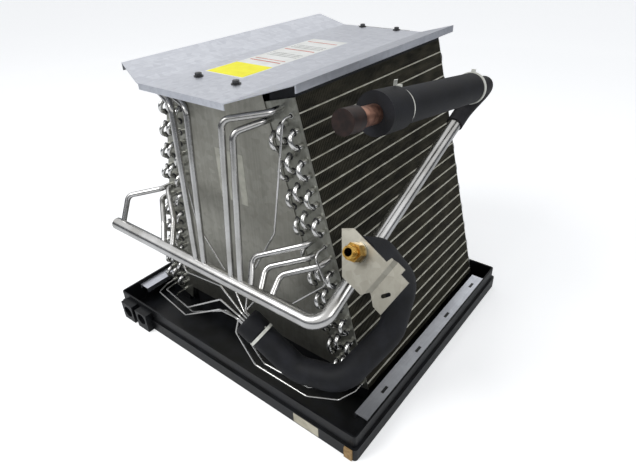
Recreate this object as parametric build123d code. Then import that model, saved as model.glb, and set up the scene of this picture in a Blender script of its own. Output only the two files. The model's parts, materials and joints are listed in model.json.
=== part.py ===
from build123d import *
from math import cos, radians, sin, tan
import os

# A-shaped cooling coil: two leaning fin-and-tube slabs that stand in a moulded drain pan,
# closed at the ends by triangular air baffles and on top by a folded cover.
# X is the width, -Y the piping side, +Z up. The origin is the centre of the drain pan's
# footprint, drain bosses included, at its underside. Sizes are in millimetres.

# ---------------------------------------------------------------- driving dimensions
# Fin-and-tube slabs
TUBE_PITCH = 21.0
ROW_PITCH = 17.6
TUBES_PER_ROW = 22
ROWS = 3
TUBE_DIAMETER = 7.0
TUBE_BORE = 6.2
LEAN = 14.7
SLAB_DEPTH = 391.0
SLAB_FOOT_X = 248.0
SLAB_FOOT_Z = 44.0
FIN_RIDGE = 0.8
FIN_RIDGE_WIDTH = 3.0
SHEET_GAUGE = 1.5
SHEET_MARGIN = 12.0
SHEET_HOLE_CLEARANCE = 0.1
HAIRPIN_PROUD = 2.0
LEG_PROUD = 5.5
CUP_DIAMETER = 9.0
CUP_LENGTH = 7.0

# Drain pan
PAN_WIDTH = 590.0
PAN_DEPTH = 520.0
PAN_HEIGHT = 48.0
PAN_WALL = 3.2
PAN_FLOOR = 4.0
PAN_SKIRT_HEIGHT = 24.0
PAN_SKIRT_PROUD = 4.0
PAN_CORNER = 6.0
COLLAR_HALF_WIDTH = 180.0
COLLAR_HEIGHT = 44.0
COLLAR_SETBACK = 8.0
PAN_FRONT_REACH = 100.0
RIB_WIDTH = 6.0
RIBS_PER_SIDE = 5
BOSS_PROUD = 12.0
BOSS_WIDTH = 34.0
BOSS_HEIGHT = 40.0
BOSS_SPACING = 46.0
BOSS_FROM_CORNER = 40.0
DRAIN_RADIUS = 12.0
DRAIN_HEIGHT = 21.0
SECOND_DRAIN_RAISED = 4.0
RAIL_GAUGE = 1.2
RAIL_DROP = 8.0
RAIL_WIDTH = 26.0
RAIL_LENGTH = 430.0
RAIL_LIP = 9.0
SEAL_WIDTH = 14.0
SEAL_HEIGHT = 22.0
SEAL_THICKNESS = 3.0
SEAL_Z = 1.0

# Top cover
COVER_GAUGE = 1.2
COVER_TOP = 497.0
COVER_HALF_FLAT = 86.0
COVER_HALF_WIDTH = 148.0
COVER_FRONT = 80.0
COVER_BACK = 18.0
COVER_LIP = 9.0
HEM_DROP = 11.0
CUT_RIGHT = 64.0
CUT_LEFT = 20.0
SCREW_X = 38.0
SCREW_INSET = 12.0
SCREW_HEAD = 5.0
SCREW_SHANK = 2.1
SCREW_FLANGE = 7.0
TAB_WIDTH = 20.0
HEAD_SHARE = 0.8
FOAM_GAP = 0.3

# Air baffles between the slabs
BAFFLE_GAUGE = 1.2
BAFFLE_LAP = 10.0
BAFFLE_FOOT = 50.0

# Suction pipework
SUCTION_DIAMETER = 22.2
SUCTION_BORE = 19.8
HEADER_AHEAD = 88.0
HEADER_Z = 222.0
HEADER_LEFT = -243.0
RISER_X = 228.0
RISER_REAR = 393.0
RISER_RISE = 25.0
RISER_SHARE = 0.92
HEADER_END = 1.2
HEADER_BEND = 24.0
STUB_X = 262.0
STUB_PITCH = 8.0
TURN_RISE = 48.0
STUB_FRONT = -77.0
TURN_BEND = 27.0
FEEDER_DIAMETER = 9.5
FEEDER_BORE = 8.1
FEEDER_BEND = 14.0
FEEDER_STRAIGHT = 18.0
WRAP_DIAMETER = 27.0
SLEEVE_DIAMETER = 43.0
SLEEVE_FIT = 0.2
SLEEVE_FRONT = -20.0
SLEEVE_REAR = 242.0
CUFF_DIAMETER = 50.0
CUFF_LENGTH = 44.0
TIE_WIDTH = 5.0
TIE_GAUGE = 1.4
TIE_INSET = 1.0
TIE_COLLAR_INSET = 3.0
CAP_DIAMETER = 28.0
CAP_LENGTH = 22.0
CAP_WALL = 1.6
BEND_SHARE = 0.45
FEEDER_HOLE_SHARE = 0.5

# Liquid side
LIQUID_DIAMETER = 12.7
LIQUID_BORE = 10.9
LAGGING_DIAMETER = 42.0
LAGGING_BEND = 40.0
DISTRIBUTOR_DIAMETER = 26.0
DISTRIBUTOR_LENGTH = 24.0
CAPILLARY_DIAMETER = 3.2
CAPILLARY_BORE = 1.8
CAPILLARY_BEND = 9.0
CAPILLARY_STRAIGHT = 16.0
PORT_STRAIGHT = 14.0
PORT_CIRCLE = 17.0
PORT_DEPTH = 10.0
FITTING_LEAN = 30.0
FITTING_PLACE = (258.0, -42.0, 329.0)
FITTING_TAIL = 58.0
LAGGING_SETBACK = 3.0
BRACKET_GAUGE = 1.5
BRACKET_TURN = 24.0
BRACKET_STEP = 5.0
BRACKET_STEP_X = 41.0
BRACKET_LEFT = -38.0
BRACKET_RIGHT = 72.0
BRACKET_LOW = -38.0
BRACKET_HIGH = 26.0
SLOT_PLACE = (61.0, -14.0)
SLOT_LENGTH = 14.0
SLOT_WIDTH = 5.0
SLOT_TURN = 60.0
HEX_ACROSS_FLATS = 22.0
HEX_LENGTH = 12.0
SPIGOT_DIAMETER = 15.9
SPIGOT_LENGTH = 10.0
RING_DIAMETER = 27.0
RING_THICKNESS = 3.0

# Labels
LABEL_GAUGE = 0.3
COVER_LABEL_WIDTH = 74.0
COVER_LABEL_X = -15.0
YELLOW_LENGTH = 62.0
YELLOW_INSET = 15.0
WHITE_LENGTH = 190.0
PAN_LABEL_WIDTH = 50.0
PAN_LABEL_HEIGHT = 20.0
PAN_LABEL_X = 200.0
PAN_LABEL_Z = 2.0
STRIP_WIDTH = 14.0
STRIP_HEIGHT = 86.0
STRIP_Z = 301.0
STRIP_PLACES = (-32.0, -11.0, 14.5)

# ---------------------------------------------------------------- derived places
front_y = -(PAN_DEPTH + BOSS_PROUD) / 2 + BOSS_PROUD
rear_y = front_y + PAN_DEPTH
sheet_y = front_y + PAN_FRONT_REACH
fin_y = sheet_y + SHEET_GAUGE
fin_back_y = fin_y + SLAB_DEPTH
leg_end_y = sheet_y - LEG_PROUD
slab_thickness = ROWS * ROW_PITCH
slab_length = TUBES_PER_ROW * TUBE_PITCH + TUBE_PITCH / 2
header_y = fin_y - HEADER_AHEAD
os.makedirs("parts", exist_ok=True)


def save(name, shape):
    """Write one sub-part and hand it back for what fits against it."""
    export_step(shape, f"parts/{name}.step")
    return shape


def bend_radii(points, bend):
    """The bend radius at each corner, eased where the runs beside it are short."""
    corners = [Vector(*point) for point in points]
    radii = []
    for before, corner, after in zip(corners, corners[1:], corners[2:]):
        turn = (corner - before).get_angle(after - corner)
        run = min((corner - before).length, (after - corner).length)
        radii.append(min(bend, BEND_SHARE * run / tan(radians(turn / 2))))
    return radii


def pipe(points, bend, diameter, bore=0):
    """A round tube along straight runs joined by bends, hollow where a bore is given."""
    path = FilletPolyline(*points, radius=bend_radii(points, bend))
    section = Circle(diameter / 2)
    if bore:
        section -= Circle(bore / 2)
    return sweep(Plane(origin=path @ 0, z_dir=path % 0) * section, path=path)


def rod(start, end, diameter, bore=0):
    """A straight round piece from one point to another."""
    axis = Vector(*end) - Vector(*start)
    section = Circle(diameter / 2)
    if bore:
        section -= Circle(bore / 2)
    return extrude(Plane(origin=start, z_dir=axis) * section, amount=axis.length)


def between(start, end, share):
    """The point a share of the way from one point to another."""
    return tuple(a + (b - a) * share for a, b in zip(start, end))


# ---------------------------------------------------------------- slabs
# Each slab is drawn upright in its own plane, with the outer face at u = 0 and u growing
# inwards, then leaned over and moved to its foot.
def slab_place(side, y):
    """The plane of one slab's cross-section at a given depth, side +1 right and -1 left."""
    along = Vector(-side * cos(radians(LEAN)), 0, -sin(radians(LEAN)))
    up = Vector(-side * sin(radians(LEAN)), 0, cos(radians(LEAN)))
    foot = Vector(side * SLAB_FOOT_X, y, SLAB_FOOT_Z)
    return Plane(origin=foot, x_dir=along, z_dir=along.cross(up))


def tube_uv(row, index):
    """A tube's centre in the slab's plane; the odd row is half a pitch higher."""
    return (row + 0.5) * ROW_PITCH, (index + 0.5 * (row % 2)) * TUBE_PITCH


def tube_point(side, row, index, y):
    """A tube's centre in the model's own frame."""
    u, v = tube_uv(row, index)
    return slab_place(side, y).from_local_coords(Vector(u, v, 0))


def depth_of(side, length):
    """The extrusion length that runs towards +Y from a slab plane."""
    return length * (1 if slab_place(side, 0).z_dir.Y > 0 else -1)


tubes = [(row, index) for row in range(ROWS) for index in range(TUBES_PER_ROW)]
slab_low = -TUBE_PITCH / 2
slab_outline = [
    (0, slab_low),
    (slab_thickness, slab_low),
    (slab_thickness, slab_low + slab_length),
    (0, slab_low + slab_length),
]


def tube_holes(clearance):
    radius = TUBE_DIAMETER / 2 + clearance
    return [Pos(*tube_uv(row, index)) * Circle(radius) for row, index in tubes]


def fin_pack(side):
    """The stack of fins as one block, with the ridge that each row of collars raises."""
    section = make_face(Polyline(*slab_outline, close=True))
    for index in range(TUBES_PER_ROW):
        ridge = Rectangle(2 * FIN_RIDGE, FIN_RIDGE_WIDTH)
        section += Pos(0, index * TUBE_PITCH) * ridge
        section += Pos(slab_thickness, index * TUBE_PITCH) * ridge
    section -= tube_holes(0)
    return extrude(slab_place(side, fin_y) * section, amount=depth_of(side, SLAB_DEPTH))


def tube_sheet(side, y):
    """End plate with a punched hole for every tube and a flange towards the middle."""
    section = make_face(Polyline(*slab_outline, close=True))
    flange_x = slab_thickness + SHEET_MARGIN / 2
    section += Pos(flange_x, slab_low + slab_length / 2) * Rectangle(SHEET_MARGIN, slab_length)
    section -= tube_holes(SHEET_HOLE_CLEARANCE)
    return extrude(slab_place(side, y) * section, amount=depth_of(side, SHEET_GAUGE))


def u_tube(side, row, index, y, direction, straight, bore):
    """Two parallel legs joined by a half-circle bend, which faces along direction."""
    low = tube_point(side, row, index, y)
    high = tube_point(side, row, index + 1, y)
    run = Vector(0, direction * straight, 0)
    reach = Vector(0, direction * TUBE_PITCH / 2, 0)
    turn = ThreePointArc(low + run, (low + high) * 0.5 + run + reach, high + run)
    path = Wire([Edge.make_line(low, low + run), turn.edge(), Edge.make_line(high + run, high)])
    section = Circle(TUBE_DIAMETER / 2) - Circle(bore / 2)
    return sweep(Plane(origin=low, z_dir=(0, direction, 0)) * section, path=path)


# Every row's tubes are paired by hairpins at the back. At the front, return bends join the
# pairs, apart from those left open for the circuits' inlets and outlets.
OPEN_PAIRS = [(0, 11), (1, 11)]
return_pairs = [
    (row, index)
    for row in range(ROWS)
    for index in range(1, TUBES_PER_ROW - 1, 2)
    if (row, index) not in OPEN_PAIRS
]


def hairpins(side):
    legs = fin_back_y + SHEET_GAUGE + HAIRPIN_PROUD - leg_end_y
    first = u_tube(side, 0, 0, leg_end_y, 1, legs, TUBE_BORE)
    origin = tube_point(side, 0, 0, 0)
    pairs = [(row, index) for row in range(ROWS) for index in range(0, TUBES_PER_ROW, 2)]
    return Compound([Pos(*(tube_point(side, r, i, 0) - origin)) * first.solid() for r, i in pairs])


def return_bends(side):
    """Return bends whose cups reach back over the ends of the hairpin legs."""
    bend = u_tube(side, 0, 1, leg_end_y, -1, HAIRPIN_PROUD, TUBE_BORE)
    for index in (1, 2):
        mouth = tube_point(side, 0, index, leg_end_y + CUP_LENGTH / 2)
        end = mouth - Vector(0, CUP_LENGTH, 0)
        bend += rod(mouth, end, CUP_DIAMETER, TUBE_DIAMETER)
    origin = tube_point(side, 0, 1, 0)
    return Compound(
        [Pos(*(tube_point(side, r, i, 0) - origin)) * bend.solid() for r, i in return_pairs]
    )


for side, name in ((1, "right"), (-1, "left")):
    save(f"fin_pack_{name}", fin_pack(side))
    save(f"tube_sheet_front_{name}", tube_sheet(side, sheet_y))
    save(f"tube_sheet_rear_{name}", tube_sheet(side, fin_back_y))
    save(f"hairpins_{name}", hairpins(side))
    save(f"return_bends_{name}", return_bends(side))


# ---------------------------------------------------------------- drain pan
def slab_underside(x):
    """Height of the slabs' sloping underside at a distance from the middle."""
    corner = slab_place(1, 0).from_local_coords(Vector(0, slab_low, 0))
    return corner.Z - (corner.X - abs(x)) * tan(radians(LEAN))


def slab_foot_span():
    """Inner and outer distance from the middle of the slabs' underside."""
    outer = slab_place(1, 0).from_local_coords(Vector(0, slab_low, 0)).X
    inner = slab_place(1, 0).from_local_coords(Vector(slab_thickness, slab_low, 0)).X
    return inner, outer


rib_inner, rib_outer = slab_foot_span()
pan_centre_y = (front_y + rear_y) / 2
collar_front = fin_y + COLLAR_SETBACK
collar_back = fin_back_y - COLLAR_SETBACK
opening_y = (collar_front + collar_back) / 2
wall_inner_x = PAN_WIDTH / 2 - PAN_SKIRT_PROUD - PAN_WALL
drain_y = front_y - BOSS_PROUD


def block(width, depth, height, x, y, z):
    """A box from its width, depth and height, the middle of its footprint and its base."""
    return Pos(x, y, z) * Box(width, depth, height, align=(Align.CENTER, Align.CENTER, Align.MIN))


def rounded_block(width, depth, height, corner, x, y, z):
    section = Pos(x, y) * RectangleRounded(width, depth, corner)
    return extrude(Plane.XY.offset(z) * section, amount=height)


def drain_pan():
    """A trough round the air opening, with ribs under the slabs and two drain bosses."""
    inset = 2 * PAN_SKIRT_PROUD
    upper = (PAN_WIDTH - inset, PAN_DEPTH - inset)
    hollow = [size - 2 * PAN_WALL for size in upper]
    pan = rounded_block(PAN_WIDTH, PAN_DEPTH, PAN_SKIRT_HEIGHT, PAN_CORNER, 0, pan_centre_y, 0)
    pan += rounded_block(*upper, PAN_HEIGHT, PAN_CORNER, 0, pan_centre_y, 0)
    for number in range(2):
        x = -PAN_WIDTH / 2 + BOSS_FROM_CORNER + number * BOSS_SPACING
        boss_depth = BOSS_PROUD + PAN_SKIRT_PROUD
        pan += block(BOSS_WIDTH, boss_depth, BOSS_HEIGHT, x, drain_y + boss_depth / 2, 0)
    pan -= block(*hollow, PAN_HEIGHT, 0, pan_centre_y, PAN_FLOOR)
    collar_depth = collar_back - collar_front
    pan += block(2 * COLLAR_HALF_WIDTH, collar_depth, COLLAR_HEIGHT, 0, opening_y, 0)
    opening = (2 * (COLLAR_HALF_WIDTH - PAN_WALL), collar_depth - 2 * PAN_WALL)
    pan -= block(*opening, 2 * COLLAR_HEIGHT, 0, opening_y, -COLLAR_HEIGHT / 2)
    rib = make_face(
        Polyline(
            (rib_inner, PAN_FLOOR),
            (rib_outer, PAN_FLOOR),
            (rib_outer, slab_underside(rib_outer)),
            (rib_inner, slab_underside(rib_inner)),
            close=True,
        )
    )
    spread = SLAB_DEPTH + 2 * SHEET_GAUGE - RIB_WIDTH
    for number in range(RIBS_PER_SIDE):
        y = sheet_y + RIB_WIDTH + number * spread / (RIBS_PER_SIDE - 1)
        right = extrude(Plane(origin=(0, y, 0), x_dir=(1, 0, 0), z_dir=(0, -1, 0)) * rib, RIB_WIDTH)
        pan += right
        pan += mirror(right, about=Plane.YZ)
    for number in range(2):
        x = -PAN_WIDTH / 2 + BOSS_FROM_CORNER + number * BOSS_SPACING
        z = DRAIN_HEIGHT + number * SECOND_DRAIN_RAISED
        reach = BOSS_PROUD + PAN_SKIRT_PROUD + PAN_WALL
        pan -= rod((x, drain_y, z), (x, drain_y + reach, z), 2 * DRAIN_RADIUS)
    return pan


def side_rail(side):
    """Galvanised strip that shelters the trough between a slab and the pan's wall."""
    top = PAN_HEIGHT - RAIL_DROP
    outer = wall_inner_x
    inner = outer - RAIL_WIDTH
    rail = block(RAIL_WIDTH, RAIL_LENGTH, RAIL_GAUGE, (inner + outer) / 2, pan_centre_y, top)
    lip_z = top - RAIL_LIP
    rail += block(RAIL_GAUGE, RAIL_LENGTH, RAIL_LIP, outer - RAIL_GAUGE / 2, pan_centre_y, lip_z)
    rail += block(RAIL_GAUGE, RAIL_LENGTH, RAIL_LIP, inner + RAIL_GAUGE / 2, pan_centre_y, lip_z)
    return rail if side > 0 else mirror(rail, about=Plane.YZ)


save("drain_pan", drain_pan())
save("side_rail_right", side_rail(1))
save("side_rail_left", side_rail(-1))
seal_x = PAN_WIDTH / 2 - PAN_CORNER - SEAL_WIDTH / 2
seal = (SEAL_WIDTH, SEAL_THICKNESS, SEAL_HEIGHT)
save("corner_seal_pad", block(*seal, seal_x, front_y - SEAL_THICKNESS / 2, SEAL_Z))


# ---------------------------------------------------------------- air baffles
def inner_edge(z):
    """Distance from the middle of the tube sheets' inner flange at a height."""
    edge = slab_place(1, 0).from_local_coords(Vector(slab_thickness + SHEET_MARGIN, 0, 0))
    return edge.X - (z - edge.Z) * tan(radians(LEAN))


baffle_top = COVER_TOP - COVER_GAUGE


def baffle(y):
    """Sheet that closes the triangle between the slabs and laps their inner flanges."""
    low = inner_edge(BAFFLE_FOOT) + BAFFLE_LAP
    high = inner_edge(baffle_top) + BAFFLE_LAP
    outline = Polyline(
        (-low, BAFFLE_FOOT), (low, BAFFLE_FOOT), (high, baffle_top), (-high, baffle_top), close=True
    )
    place = Plane(origin=(0, y, 0), x_dir=(1, 0, 0), z_dir=(0, -1, 0))
    return extrude(place * make_face(outline), amount=BAFFLE_GAUGE)


front_baffle_y = sheet_y
rear_baffle_y = fin_back_y + SHEET_GAUGE + BAFFLE_GAUGE
save("front_baffle", baffle(front_baffle_y))
save("rear_baffle", baffle(rear_baffle_y))

# ---------------------------------------------------------------- top cover
cover_front_y = fin_y - COVER_FRONT
cover_back_y = fin_back_y + COVER_BACK
wing_run = COVER_HALF_WIDTH - COVER_HALF_FLAT
wing_rise = wing_run * tan(radians(LEAN))


def cover_section():
    """The cover's folded section: flat middle, raised wings and hems turned down."""
    edge_z = COVER_TOP + wing_rise
    line = Polyline(
        (-COVER_HALF_WIDTH, edge_z - HEM_DROP),
        (-COVER_HALF_WIDTH, edge_z),
        (-COVER_HALF_FLAT, COVER_TOP),
        (COVER_HALF_FLAT, COVER_TOP),
        (COVER_HALF_WIDTH, edge_z),
        (COVER_HALF_WIDTH, edge_z - HEM_DROP),
    )
    lower = offset(line, amount=COVER_GAUGE, side=Side.RIGHT, closed=True)
    return make_face(lower)


def top_cover():
    place = Plane(origin=(0, cover_front_y, 0), x_dir=(1, 0, 0), z_dir=(0, -1, 0))
    cover = extrude(place * cover_section(), amount=-(cover_back_y - cover_front_y))
    lip_y = cover_front_y + COVER_GAUGE / 2
    lip_z = COVER_TOP - COVER_LIP
    cover += block(2 * COVER_HALF_FLAT, COVER_GAUGE, COVER_LIP, 0, lip_y, lip_z)
    for side, cut in ((1, CUT_RIGHT), (-1, CUT_LEFT)):
        corner = Polyline(
            (side * COVER_HALF_FLAT, cover_front_y - 1),
            (side * (COVER_HALF_WIDTH + 1), cover_front_y - 1),
            (side * (COVER_HALF_WIDTH + 1), cover_front_y + cut),
            close=True,
        )
        cover -= extrude(Plane.XY.offset(COVER_TOP / 2) * make_face(corner), amount=COVER_TOP)
    for x, y in screw_places:
        cover -= rod((x, y, COVER_TOP + 1), (x, y, COVER_TOP - 2 * COVER_GAUGE), 2 * SCREW_SHANK)
    return cover


screw_places = [
    (x, y)
    for x in (-SCREW_X, SCREW_X)
    for y in (fin_y - SCREW_INSET, fin_back_y + SCREW_INSET)
]


def cover_screw(x, y):
    """Hexagon-headed sheet-metal screw with a washer face."""
    shank = rod((x, y, COVER_TOP - SCREW_FLANGE - COVER_GAUGE), (x, y, COVER_TOP), 2 * SCREW_SHANK)
    washer = rod((x, y, COVER_TOP), (x, y, COVER_TOP + COVER_GAUGE), 2 * SCREW_FLANGE)
    head_plane = Plane(origin=(x, y, COVER_TOP + COVER_GAUGE))
    head = extrude(head_plane * RegularPolygon(SCREW_HEAD, 6), amount=SCREW_HEAD * HEAD_SHARE)
    return (shank + washer + head).solid()


def screw_tab(y, direction):
    """Ear on a baffle's top edge that the cover is screwed to."""
    depth = 2 * SCREW_INSET
    width = 2 * (SCREW_X + TAB_WIDTH)
    z = COVER_TOP - 2 * COVER_GAUGE
    tab = block(width, depth, COVER_GAUGE, 0, y + direction * depth / 2, z)
    for x, hole_y in screw_places:
        tab -= rod((x, hole_y, z - 1), (x, hole_y, z + 2 * COVER_GAUGE), 2 * SCREW_SHANK)
    return tab


def foam_strip(side):
    """Foam bedded between the top of a slab and the wing of the cover."""
    outer = slab_place(1, 0).from_local_coords(Vector(0, slab_low + slab_length, 0))
    inner = slab_place(1, 0).from_local_coords(Vector(slab_thickness, slab_low + slab_length, 0))
    tangent = tan(radians(LEAN))
    under = COVER_TOP - COVER_GAUGE / cos(radians(LEAN))
    outline = Polyline(
        (COVER_HALF_FLAT, under - FOAM_GAP),
        (COVER_HALF_FLAT, inner.Z + (COVER_HALF_FLAT - inner.X) * tangent),
        (outer.X, outer.Z),
        (outer.X, under - FOAM_GAP + (outer.X - COVER_HALF_FLAT) * tangent),
        close=True,
    )
    place = Plane(origin=(0, fin_y, 0), x_dir=(1, 0, 0), z_dir=(0, -1, 0))
    strip = extrude(place * make_face(outline), amount=-SLAB_DEPTH)
    return strip if side > 0 else mirror(strip, about=Plane.YZ)


save("top_cover", top_cover())
save("cover_screws", Compound([cover_screw(x, y) for x, y in screw_places]))
save("cover_tab_front", screw_tab(front_baffle_y - BAFFLE_GAUGE, -1))
save("cover_tab_rear", screw_tab(rear_baffle_y, 1))
save("cover_foam_right", foam_strip(1))
save("cover_foam_left", foam_strip(-1))

# ---------------------------------------------------------------- suction pipework
def behind(x, y, z):
    """A point given by its distance behind the front tube sheets."""
    return x, sheet_y + y, z


def bundle(shapes):
    """Separate solids kept together as one sub-part."""
    return Compound([shape.solid() for shape in shapes])


riser_top_z = HEADER_Z + RISER_REAR * tan(radians(RISER_RISE))
riser_top = (RISER_X, header_y + RISER_REAR, riser_top_z)
stub_slope = tan(radians(STUB_PITCH))
turn_top = (STUB_X, header_y + RISER_REAR, riser_top_z + TURN_RISE)


def stub_axis(y):
    """The point of the stub's axis at a distance behind the front tube sheets."""
    real_y = sheet_y + y
    return STUB_X, real_y, turn_top[2] + (turn_top[1] - real_y) * stub_slope


header_start = (HEADER_LEFT, header_y, HEADER_Z)
header_corner = (RISER_X, header_y, HEADER_Z)
riser_end = between(header_corner, riser_top, RISER_SHARE)


def feeder(side, header_x, row, index, knee):
    """Small tube from the header to one open tube end, saddled to the header's wall."""
    start = (header_x, header_y, HEADER_Z)
    end = tube_point(side, row, index, leg_end_y)
    before = end - Vector(0, FEEDER_STRAIGHT, 0)
    points = [start, behind(*knee), tuple(before), tuple(end)]
    tube = pipe(points, FEEDER_BEND, FEEDER_DIAMETER, FEEDER_BORE)
    return tube - header_body


# Where each feeder leaves the header, the open tube end that it serves (row, tube), and the
# knee of its route.
FEEDERS = {
    "left_1": (-1, -226.0, 0, 12, (-228, -60, 272)),
    "left_2": (-1, -105.0, 0, 11, (-130, -62, 250)),
    "left_3": (-1, -86.0, 1, 12, (-104, -58, 262)),
    "left_4": (-1, -21.0, 0, 21, (-46, -60, 470)),
    "left_5": (-1, -3.0, 1, 21, (-18, -56, 470)),
    "right_1": (1, 58.0, 1, 21, (56, -60, 466)),
    "right_2": (1, 78.0, 2, 21, (70, -56, 450)),
    "right_3": (1, 98.0, 1, 12, (84, -62, 264)),
    "right_4": (1, 116.0, 1, 11, (106, -58, 252)),
    "right_5": (1, 136.0, 0, 11, (130, -54, 246)),
}

header_route = [header_start, header_corner, riser_end]
header_body = pipe(header_route, HEADER_BEND, SUCTION_DIAMETER)
header = pipe(header_route, HEADER_BEND, SUCTION_DIAMETER, SUCTION_BORE)
header += rod(header_start, (HEADER_LEFT + HEADER_END, header_y, HEADER_Z), SUCTION_BORE)
for _, header_x, _, _, knee in FEEDERS.values():
    start = (header_x, header_y, HEADER_Z)
    header -= rod(start, between(start, behind(*knee), FEEDER_HOLE_SHARE), FEEDER_BORE)
save("suction_header", header)
for name, route in FEEDERS.items():
    save(f"feeder_{name}", feeder(*route))

stub_end = stub_axis(STUB_FRONT)
sleeve_rear = stub_axis(SLEEVE_REAR)
cuff_front = stub_axis(SLEEVE_FRONT)
cuff_rear = stub_axis(SLEEVE_FRONT + CUFF_LENGTH)
turn_route = [riser_end, riser_top, turn_top]
save("suction_stub", pipe(turn_route + [stub_end], TURN_BEND, SUCTION_DIAMETER, SUCTION_BORE))
sleeve_bore = SUCTION_DIAMETER + SLEEVE_FIT
save("turn_wrap", pipe(turn_route + [sleeve_rear], TURN_BEND, WRAP_DIAMETER, sleeve_bore))
save("stub_sleeve", rod(cuff_rear, sleeve_rear, SLEEVE_DIAMETER, sleeve_bore))
save("sleeve_cuff", rod(cuff_front, cuff_rear, CUFF_DIAMETER, sleeve_bore))


def tie(start, end, at, diameter):
    """Cable tie: a flat band and its square head round a sleeve, a distance along it."""
    axis = (Vector(*end) - Vector(*start)).normalized()
    low = Vector(*start) + axis * at
    band = rod(tuple(low), tuple(low + axis * TIE_WIDTH), diameter + 2 * TIE_GAUGE, diameter)
    side = axis.cross(Vector(0, 0, 1)).normalized()
    middle = low + axis * (TIE_WIDTH / 2) + axis.cross(side) * -(diameter / 2 + TIE_WIDTH / 2)
    head = Plane(origin=middle, x_dir=side, z_dir=axis) * Box(TIE_WIDTH, TIE_WIDTH, TIE_WIDTH)
    core = rod(tuple(low - axis), tuple(low + axis * (TIE_WIDTH + 1)), diameter)
    return band + (head - core)


cap_start = stub_axis(STUB_FRONT - CAP_WALL)
cap = rod(cap_start, stub_axis(STUB_FRONT + CAP_LENGTH), CAP_DIAMETER)
cap -= rod(stub_end, stub_axis(STUB_FRONT + CAP_LENGTH + 1), SUCTION_DIAMETER)
save("stub_cap", cap)

# ---------------------------------------------------------------- liquid side
fitting_axis = Vector(0, -cos(radians(FITTING_LEAN)), sin(radians(FITTING_LEAN)))
fitting_foot = Vector(*behind(*FITTING_PLACE))


def on_fitting(distance):
    """A point on the fitting's axis, in front of the bracket's back face."""
    return tuple(fitting_foot + fitting_axis * distance)


distributor_foot = behind(98, -81, 137)
first_bend = behind(165, -71, 88)
liquid_route = [
    distributor_foot,
    first_bend,
    behind(238, -54, 96),
    behind(270, 30, 150),
    behind(270, 60, 224),
    on_fitting(-FITTING_TAIL),
]
lagging_route = liquid_route + [on_fitting(-LAGGING_SETBACK)]
liquid_tube = pipe(
    liquid_route + [on_fitting(HEX_LENGTH)], LAGGING_BEND, LIQUID_DIAMETER, LIQUID_BORE
)
save("liquid_tube", liquid_tube)
lagging = pipe(lagging_route, LAGGING_BEND, LAGGING_DIAMETER, LIQUID_DIAMETER + SLEEVE_FIT)
save("liquid_lagging", lagging)

nose_axis = (Vector(*distributor_foot) - Vector(*first_bend)).normalized()
nose = tuple(Vector(*distributor_foot) + nose_axis * DISTRIBUTOR_LENGTH)
nose_plane = Plane(origin=nose, x_dir=nose_axis.cross(Vector(0, 0, 1)), z_dir=nose_axis)
PORTS = 10
ports = [
    nose_plane.from_local_coords(location.position)
    for location in PolarLocations(PORT_CIRCLE / 2, PORTS).locations
]
distributor = rod(distributor_foot, nose, DISTRIBUTOR_DIAMETER)
for port in ports:
    distributor -= rod(port, port - nose_axis * PORT_DEPTH, CAPILLARY_BORE)
save("distributor", distributor)

# Each distributor tube: the port it starts from, the open tube end it feeds (row, tube) and
# the bends of its route in between, each point behind the front tube sheets.
CAPILLARIES_LEFT = [
    (5, 0, 0, [(18, -88, 148), (-100, -80, 70), (-215, -56, 54)]),
    (6, 1, 0, [(16, -82, 164), (-96, -74, 86), (-200, -48, 62)]),
    (4, 2, 0, [(20, -76, 138), (-100, -64, 66), (-186, -42, 44)]),
    (7, 1, 11, [(4, -68, 178), (-120, -46, 140), (-158, -32, 200)]),
    (8, 2, 21, [(20, -58, 192), (-60, -44, 260), (-92, -32, 400)]),
]
CAPILLARIES_RIGHT = [
    (3, 0, 0, [(50, -88, 116), (84, -86, 60), (190, -82, 54), (232, -56, 50)]),
    (2, 1, 0, [(50, -74, 110), (92, -74, 58), (180, -66, 52), (216, -42, 54)]),
    (1, 2, 0, [(54, -60, 104), (100, -60, 56), (170, -50, 46), (200, -36, 40)]),
    (0, 0, 12, [(70, -54, 172), (140, -44, 190), (196, -32, 244), (178, -30, 280)]),
    (9, 0, 21, [(56, -50, 204), (108, -36, 300), (126, -30, 420)]),
]


def capillary(side, port, row, index, bends):
    """One thin distributor tube from its port to the open end that it feeds."""
    start = ports[port]
    end = tube_point(side, row, index, leg_end_y)
    lead = tuple(start + nose_axis * PORT_STRAIGHT)
    before = tuple(end - Vector(0, CAPILLARY_STRAIGHT, 0))
    points = [tuple(start), lead] + [behind(*bend) for bend in bends] + [before, tuple(end)]
    return pipe(points, CAPILLARY_BEND, CAPILLARY_DIAMETER, CAPILLARY_BORE)


save("capillaries_left", bundle([capillary(-1, *route) for route in CAPILLARIES_LEFT]))
save("capillaries_right", bundle([capillary(1, *route) for route in CAPILLARIES_RIGHT]))

fitting_up = fitting_axis.cross(Vector(1, 0, 0))
bracket_along = Vector(cos(radians(BRACKET_TURN)), 0, 0) - fitting_up * sin(radians(BRACKET_TURN))
bracket_plane = Plane(origin=on_fitting(0), x_dir=bracket_along, z_dir=fitting_axis)
# The bracket's flat shape round the fitting's axis, which is its origin: a sloped left end,
# a tab on the upper edge and a V notch in the lower one.
BRACKET_OUTLINE = [
    (BRACKET_LEFT, 6),
    (-25, 18),
    (36, 18),
    (38, BRACKET_HIGH),
    (58, BRACKET_HIGH),
    (58, 18),
    (BRACKET_RIGHT, 18),
    (BRACKET_RIGHT, -36),
    (58, -36),
    (44, -26),
    (38, -36),
    (4, BRACKET_LOW),
]


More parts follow.
